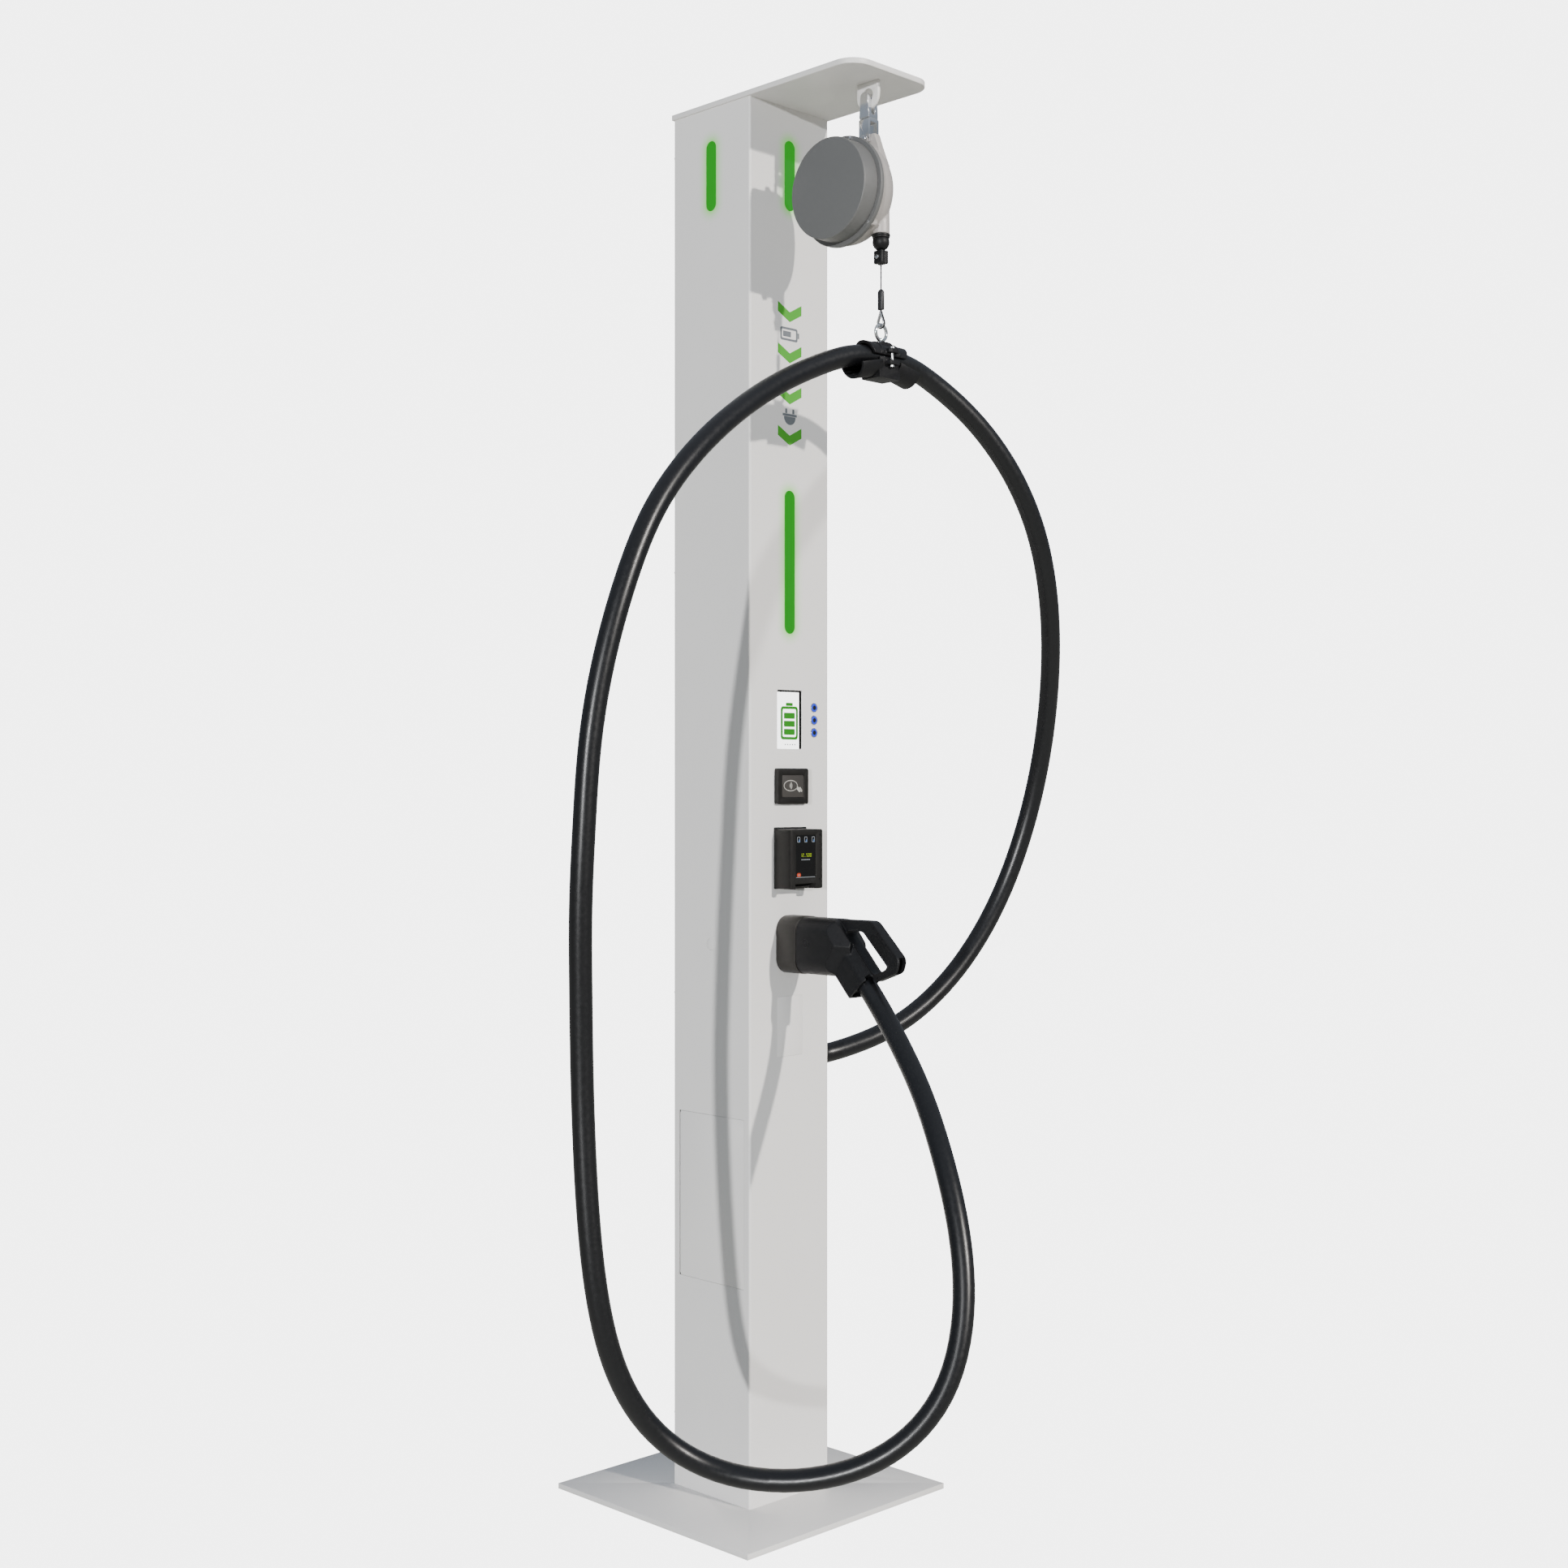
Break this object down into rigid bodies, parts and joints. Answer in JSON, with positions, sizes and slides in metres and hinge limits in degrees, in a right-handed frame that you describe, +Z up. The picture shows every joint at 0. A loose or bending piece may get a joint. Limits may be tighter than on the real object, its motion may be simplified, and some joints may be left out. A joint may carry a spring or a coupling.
{
  "type": "ev charging post",
  "caption": "Steel charging post with a roof arm, a spring balancer that carries the charging cable, display, card reader, payment terminal and a parked plug.",
  "frame": {"origin": "centre of the base plate's underside", "axes": "+Z up, -Y out of the front face, so +X is to the right of someone facing the display"},
  "size_m": [1.2425, 0.8861, 2.518],
  "materials": {
    "base_plate": "powder coat, satin",
    "column": "powder coat, satin, pale grey",
    "rear_cover": "powder coat, satin, pale grey",
    "roof": "powder coat, satin, pale grey",
    "door": "powder coat, satin, pale grey",
    "frames": "plain zinc primer",
    "fasteners": "zinc plated",
    "lens": "green, lit from behind",
    "board": "white solder mask",
    "dark_plastic": "fine texture",
    "holder_plastic": "fine texture",
    "terminal_plastic": "fine texture",
    "gasket": "soft",
    "display_glass": "lit display behind clear cover",
    "terminal_screen": "dark touch screen",
    "bezel": "polished",
    "button": "blue ring round a dark middle",
    "reader": "fine texture",
    "reader_pad": "satin",
    "cable": "smooth, slightly glossy jacket",
    "contact": "silver plated",
    "gland": "moulded",
    "hanger": "stainless, ground",
    "housing": "die cast, satin",
    "balancer_cover": "grey painted casting",
    "drum": "turned",
    "spring": "blue spring steel",
    "rope": "stranded",
    "stop": "hard rubber",
    "ferrule": "pressed, dull",
    "thimble": "galvanised",
    "clamp": "glass-filled",
    "terminals": "beige",
    "contactor": "grey",
    "controller": "green case",
    "panel": "plain sheet"
  },
  "bodies": {
    "post": {"base_plate": "base_plate", "column_shell": "column", "rear_cover": "rear_cover", "cover_screws": "fasteners", "end_frames": "frames", "roof_plate": "roof", "balancer_bracket": "roof", "upper_light_lenses": "lens", "level_light_lens": "lens", "led_boards": "board", "hinge_ears": "frames", "door_catch": "dark_plastic", "release_plug": "column", "blanking_plate": "column", "display_module": "dark_plastic", "display_glass": "display_glass", "button_bezels": "bezel", "reader_frame": "reader", "reader_pad": "reader_pad", "terminal_gasket": "gasket", "terminal_housing": "terminal_plastic", "terminal_screen": "terminal_screen", "plug_holder": "holder_plastic", "holder_socket": "dark_plastic", "gland_body": "gland", "gland_nut": "gland", "cable_riser": "cable", "cable_drop": "cable", "cable_rise": "cable", "hanger_bow": "hanger", "hanger_fork": "hanger", "lug_pin": "hanger", "balancer_housing": "housing", "balancer_cover": "balancer_cover", "balancer_screws": "fasteners", "drum_shaft": "fasteners", "mainspring": "spring", "rope_guide": "stop", "mounting_panel": "panel", "terminal_blocks": "terminals", "contactors": "contactor", "charge_controller": "controller"},
    "door": {"service_door": "door"},
    "top_button": {"button_cap_top": "button"},
    "middle_button": {"button_cap_middle": "button"},
    "bottom_button": {"button_cap_bottom": "button"},
    "rope_drum": {"drum": "drum"},
    "rope_end": {"rope": "rope", "stop_ball": "stop", "stop_clamp": "stop", "ferrule": "ferrule", "thimble": "thimble", "eye_bolt": "thimble", "clamp_saddle": "clamp", "clamp_trough": "clamp", "clamp_screws": "fasteners"},
    "plug": {"connector_shell": "dark_plastic", "connector_nose": "dark_plastic", "connector_contacts": "contact"}
  },
  "joints": [
    {"name": "door_hinge", "type": "hinge", "parent": "post", "child": "door", "pos_m": [-0.096, 0.081, 0.546], "axis": [0, 0, -1], "range_deg": [0, 90]},
    {"name": "plug_pull", "type": "slide", "parent": "post", "child": "plug", "axis": [0, -1, 0], "range_m": [0, 0.06], "deforming": ["cable_rise"]},
    {"name": "rope_pull", "type": "slide", "parent": "post", "child": "rope_end", "axis": [0, 0, -1], "range_m": [0, 0.6], "stiffness_N_per_m": 8, "springref_m": -2.5, "deforming": ["rope", "cable_riser", "cable_drop"]},
    {"name": "drum_spin", "type": "hinge", "parent": "post", "child": "rope_drum", "pos_m": [0, -0.266, 2.316], "axis": [1, 0, 0], "range_deg": [0, 620]},
    {"name": "top_button_press", "type": "slide", "parent": "post", "child": "top_button", "axis": [0, 1, 0], "range_m": [0, 0.0015], "stiffness_N_per_m": 400, "springref_m": -0.0015},
    {"name": "middle_button_press", "type": "slide", "parent": "post", "child": "middle_button", "axis": [0, 1, 0], "range_m": [0, 0.0015], "stiffness_N_per_m": 400, "springref_m": -0.0015},
    {"name": "bottom_button_press", "type": "slide", "parent": "post", "child": "bottom_button", "axis": [0, 1, 0], "range_m": [0, 0.0015], "stiffness_N_per_m": 400, "springref_m": -0.0015}
  ],
  "couplings": [
    {"joint": "drum_spin", "follows": "rope_pull", "rad_per_m": 17.857}
  ]
}
